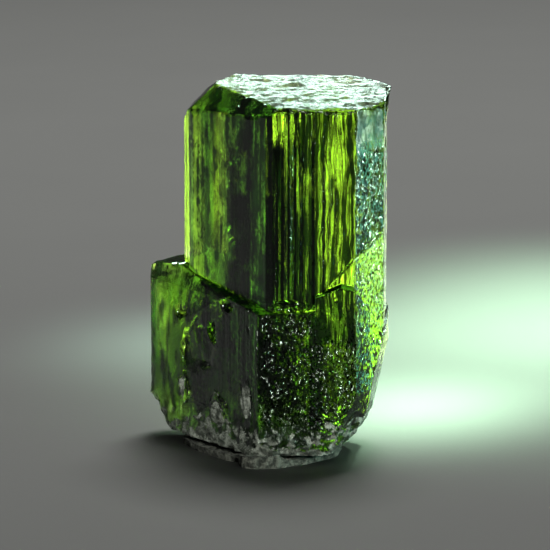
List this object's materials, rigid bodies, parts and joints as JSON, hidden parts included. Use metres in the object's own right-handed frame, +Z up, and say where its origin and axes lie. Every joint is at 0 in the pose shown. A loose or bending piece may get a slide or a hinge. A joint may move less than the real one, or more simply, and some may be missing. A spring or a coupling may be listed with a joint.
{
  "type": "diopside crystal",
  "caption": "green gem crystal of diopside: a tall flat-topped prism with a shorter crystal grown round its foot, on a thin flake of pale matrix",
  "frame": {"origin": "on the surface the specimen stands on, under the middle of its bounding box", "axes": "+Z up, along the crystals' c axis; -Y is the front, the striated prism face seen from before it; +X to the right"},
  "size_m": [0.0184, 0.013, 0.0281],
  "materials": {
    "diopside": "vitreous, see-through green, etched in places",
    "matrix_rock": "matt, rough"
  },
  "bodies": {
    "root": {"crystal": "diopside", "matrix_flake": "matrix_rock"}
  },
  "joints": []
}
